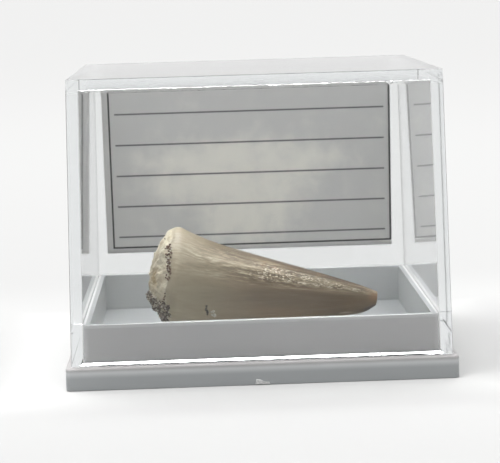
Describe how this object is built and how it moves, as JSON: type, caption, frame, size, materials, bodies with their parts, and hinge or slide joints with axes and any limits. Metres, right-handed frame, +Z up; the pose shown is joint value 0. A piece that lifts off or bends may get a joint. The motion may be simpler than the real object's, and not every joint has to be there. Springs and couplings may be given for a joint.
{
  "type": "fossil mosasaur tooth in a display box",
  "caption": "Fossil reptile tooth lying on its side in a small clear display box: grey tray base, lift-off clear cover and a ruled paper label behind the tooth.",
  "frame": {"origin": "middle of the base plate's flat underside", "axes": "+X along the front of the box to the right, towards the tooth's tip; +Y from the front to the label at the back; +Z up"},
  "size_m": [0.056, 0.0468, 0.0439],
  "materials": {
    "base_plastic": "satin",
    "clear_plastic": "polished",
    "label_paper": "matte",
    "fossil_tooth": "satin"
  },
  "bodies": {
    "root": {"base": "base_plastic", "cover": "clear_plastic", "label": "label_paper", "tooth": "fossil_tooth"}
  },
  "joints": []
}
